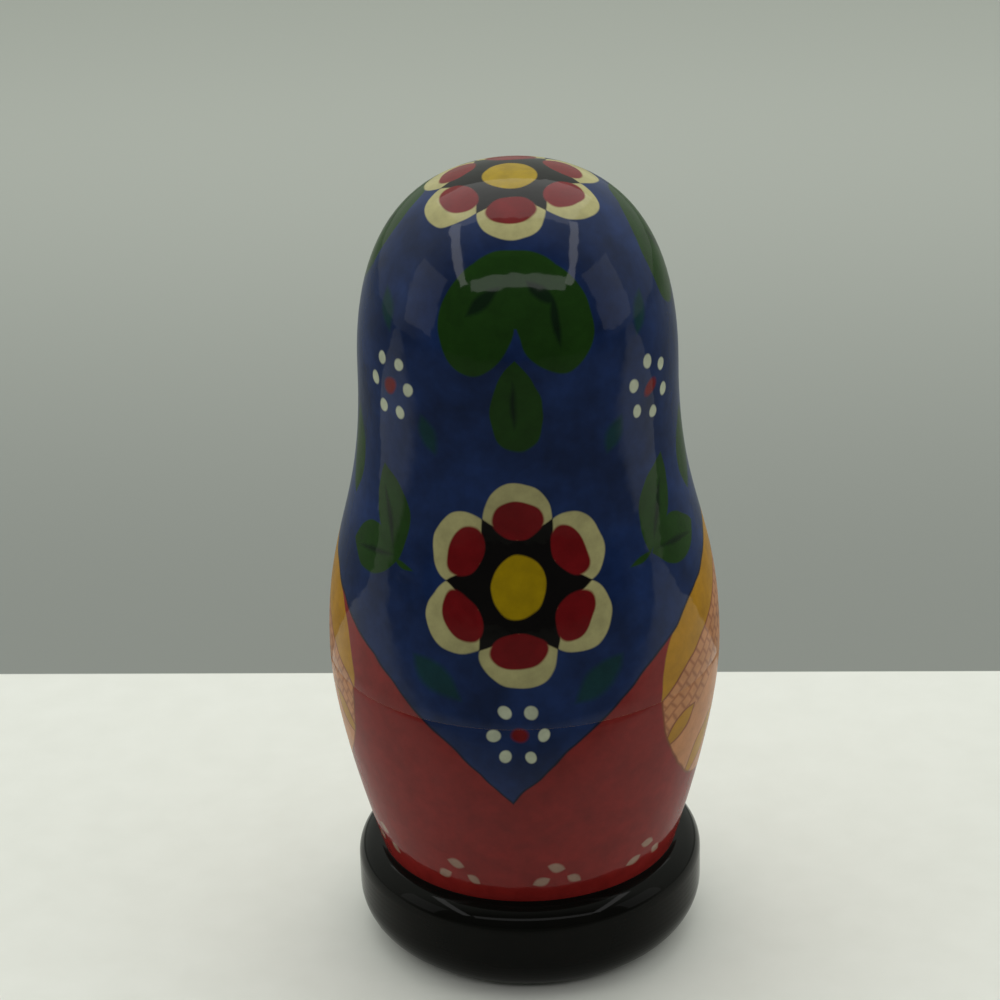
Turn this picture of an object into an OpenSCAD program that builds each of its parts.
// Nesting doll set. Four hollow turned dolls, each of two halves closed by a collar,
// stand one inside the other round a small solid doll. Sizes are in millimetres.

/* [Largest doll] */
// Height of the foot
foot_height = 19; // [15:0.5:24]
// Diameter of the foot
foot_dia = 65; // [60:0.5:72]
// Radius of the rounding under the foot
foot_under_round = 9; // [4:0.5:10]
// Diameter of the dress just above the foot
hem_dia = 56; // [52:0.5:59]
// Height of the skirt, from the foot to the widest line
skirt_height = 40; // [32:0.5:50]
// Diameter of the belly at the widest line
belly_dia = 72; // [67:0.5:84]
// Height of the shoulders, from the widest line to the head
shoulder_height = 55; // [45:0.5:70]
// Diameter of the head
head_dia = 57; // [53:0.5:62]
// Height of the rounded crown above the straight part of the head
crown_height = 36; // [30:0.5:46]

/* [Curves] */
// Outward lean of the skirt at the hem, in width per height
hem_lean = 0.3; // [0.1:0.05:0.5]
// Fullness of the skirt
skirt_curve = 0.28; // [0.2:0.02:0.5]
// Fullness of the body just above the widest line
belly_curve = 0.45; // [0.3:0.01:0.6]
// Length of the straight run below the head
neck_curve = 0.52; // [0.3:0.01:0.6]
// Fullness of the sides of the head
head_curve = 0.6; // [0.4:0.01:0.7]
// Flatness of the top of the head
crown_curve = 0.72; // [0.5:0.01:0.85]

/* [Walls] */
// Wall thickness of the largest doll
wall = 4.2; // [3.6:0.1:5]
// Share of the wall thickness kept from one doll to the next
wall_keep = 0.82; // [0.74:0.01:0.88]
// Thickness of the floor in the largest doll
floor_thickness = 10; // [6:0.5:13]
// Wall left round the floor of the largest doll
seat_wall = 4; // [3.2:0.1:5]

/* [Fits] */
// Height of the collar on the lower half of the largest doll
collar_height = 10; // [7:0.5:13]
// Thickness of the upper half's lip round the collar
lip = 2.2; // [1.8:0.1:2.6]
// Chamfer on the top edge of the collar
collar_lead = 0.6; // [0.2:0.1:0.9]
// Radial clearance between the collar and the lip
collar_clearance = 0.05; // [0.02:0.01:0.1]
// Gap above the collar in the closed doll
collar_end_gap = 0.5; // [0.3:0.1:1]
// Radial clearance round the foot of the doll inside
nest_clearance = 0.6; // [0.3:0.1:1.2]

/* [Paint] */
// Colour of the lower halves
dress_colour = "brown"; // [brown, firebrick, darkgreen, goldenrod]
// Colour of the upper halves
kerchief_colour = "midnightblue"; // [midnightblue, darkgreen, firebrick, goldenrod]

/* [Hidden] */
$fn = 96;
curve_steps = 14;
arc_steps = 8;

foot_r = foot_dia / 2;
hem_r = hem_dia / 2;
belly_r = belly_dia / 2;
head_r = head_dia / 2;

belly_z = foot_height + skirt_height;
head_z = belly_z + shoulder_height;
doll_height = head_z + crown_height;
foot_overhang = foot_r - hem_r;

// The foot of each doll fills the seat in the floor of the doll round it
seat_r = hem_r - seat_wall;
nest_ratio = (seat_r - nest_clearance) / foot_r;

// Control points of the turned outline, as [radius, height]
skirt_handle = skirt_curve * skirt_height;
skirt_line = [
    [hem_r, foot_height],
    [hem_r + hem_lean * skirt_handle, foot_height + skirt_handle],
    [belly_r, belly_z - skirt_handle],
    [belly_r, belly_z]
];
shoulder_line = [
    [belly_r, belly_z],
    [belly_r, belly_z + belly_curve * shoulder_height],
    [head_r, head_z - neck_curve * shoulder_height],
    [head_r, head_z]
];
crown_line = [
    [head_r, head_z],
    [head_r, head_z + head_curve * crown_height],
    [crown_curve * head_r, doll_height],
    [0, doll_height]
];

// Scale of a doll, counted from 0 for the largest
function size_of(i) = pow(nest_ratio, i);

function wall_of(i) = wall * pow(wall_keep, i);

function lip_of(i) = lip * pow(wall_keep, i);

// Height of the table side of a doll's foot when it stands in the set
function base_of(i) = i == 0 ? 0 : base_of(i - 1) + floor_thickness * size_of(i - 1);

// Point on a cubic curve
function on_curve(p, t) =
    pow(1 - t, 3) * p[0] + 3 * t * pow(1 - t, 2) * p[1]
    + 3 * t * t * (1 - t) * p[2] + pow(t, 3) * p[3];

// Direction of a cubic curve
function along_curve(p, t) =
    3 * pow(1 - t, 2) * (p[1] - p[0]) + 6 * t * (1 - t) * (p[2] - p[1])
    + 3 * t * t * (p[3] - p[2]);

// Point a given depth inside a curve that runs up the outside of the doll
function in_curve(p, t, depth) =
    let (g = along_curve(p, t))
    on_curve(p, t) - depth * [g[1], -g[0]] / norm(g);

function arc(centre, r, from, to) = [
    for (k = [0:arc_steps])
        let (a = from + (to - from) * k / arc_steps)
        centre + r * [cos(a), sin(a)]
];

// Curve without its first point, which the stretch before it has drawn
function outside(p, s) = [for (k = [1:curve_steps]) s * on_curve(p, k / curve_steps)];

// Inside of a wall, from the top of its curve down
function inside(p, s, depth) = [
    for (k = [curve_steps:-1:0]) s * in_curve(p, k / curve_steps, depth / s)
];

function foot_outline(s) = concat(
    [[0, 0]],
    s * arc([foot_r - foot_under_round, foot_under_round], foot_under_round, -90, 0),
    s * arc([hem_r, foot_height - foot_overhang], foot_overhang, 0, 90)
);

function lower_outline(i) =
    let (s = size_of(i))
    let (seam = belly_z * s)
    let (rim = seam + collar_height * s)
    let (lead = collar_lead * s)
    let (collar_out = belly_r * s - lip_of(i) - collar_clearance)
    let (collar_in = belly_r * s - wall_of(i))
    let (seat = seat_r * s)
    let (ground = floor_thickness * s)
    let (corner = foot_under_round * size_of(i + 1))
    concat(
        foot_outline(s),
        outside(skirt_line, s),
        [
            [collar_out, seam],
            [collar_out, rim - lead],
            [collar_out - lead, rim],
            [collar_in, rim],
            [collar_in, seam]
        ],
        [
            for (k = [curve_steps - 1:-1:0])
                let (p = s * on_curve(skirt_line, k / curve_steps))
                if (p[1] > ground + corner) [max(p[0] - wall_of(i), seat), p[1]]
        ],
        arc([seat - corner, ground + corner], corner, 0, -90),
        [[0, ground]]
    );

function upper_outline(i) =
    let (s = size_of(i))
    let (seam = belly_z * s)
    let (step = seam + (collar_height + collar_end_gap) * s)
    let (recess = belly_r * s - lip_of(i))
    let (crown_in = inside(crown_line, s, wall_of(i)))
    let (body_in = [for (p = inside(shoulder_line, s, wall_of(i))) if (p[1] > step) p])
    let (last = body_in[len(body_in) - 1])
    concat(
        [[belly_r * s, seam]],
        outside(shoulder_line, s),
        outside(crown_line, s),
        crown_in,
        [for (k = [1:len(body_in) - 1]) body_in[k]],
        [[last[0], step], [recess, step], [recess, seam]]
    );

function whole_outline(i) =
    let (s = size_of(i))
    concat(
        foot_outline(s),
        outside(skirt_line, s),
        outside(shoulder_line, s),
        outside(crown_line, s)
    );

// Turned piece of one doll, standing where it rests in the closed set
module turned(i, outline) {
    translate([0, 0, base_of(i)])
        rotate_extrude()
            polygon(outline);
}

module largest_doll_lower_half() {
    color(dress_colour)
        turned(0, lower_outline(0));
}

module largest_doll_upper_half() {
    color(kerchief_colour)
        turned(0, upper_outline(0));
}

module second_doll_lower_half() {
    color(dress_colour)
        turned(1, lower_outline(1));
}

module second_doll_upper_half() {
    color(kerchief_colour)
        turned(1, upper_outline(1));
}

module third_doll_lower_half() {
    color(dress_colour)
        turned(2, lower_outline(2));
}

module third_doll_upper_half() {
    color(kerchief_colour)
        turned(2, upper_outline(2));
}

module fourth_doll_lower_half() {
    color(dress_colour)
        turned(3, lower_outline(3));
}

module fourth_doll_upper_half() {
    color(kerchief_colour)
        turned(3, upper_outline(3));
}

module smallest_doll() {
    color(dress_colour)
        turned(4, whole_outline(4));
}

largest_doll_lower_half();
largest_doll_upper_half();
second_doll_lower_half();
second_doll_upper_half();
third_doll_lower_half();
third_doll_upper_half();
fourth_doll_lower_half();
fourth_doll_upper_half();
smallest_doll();
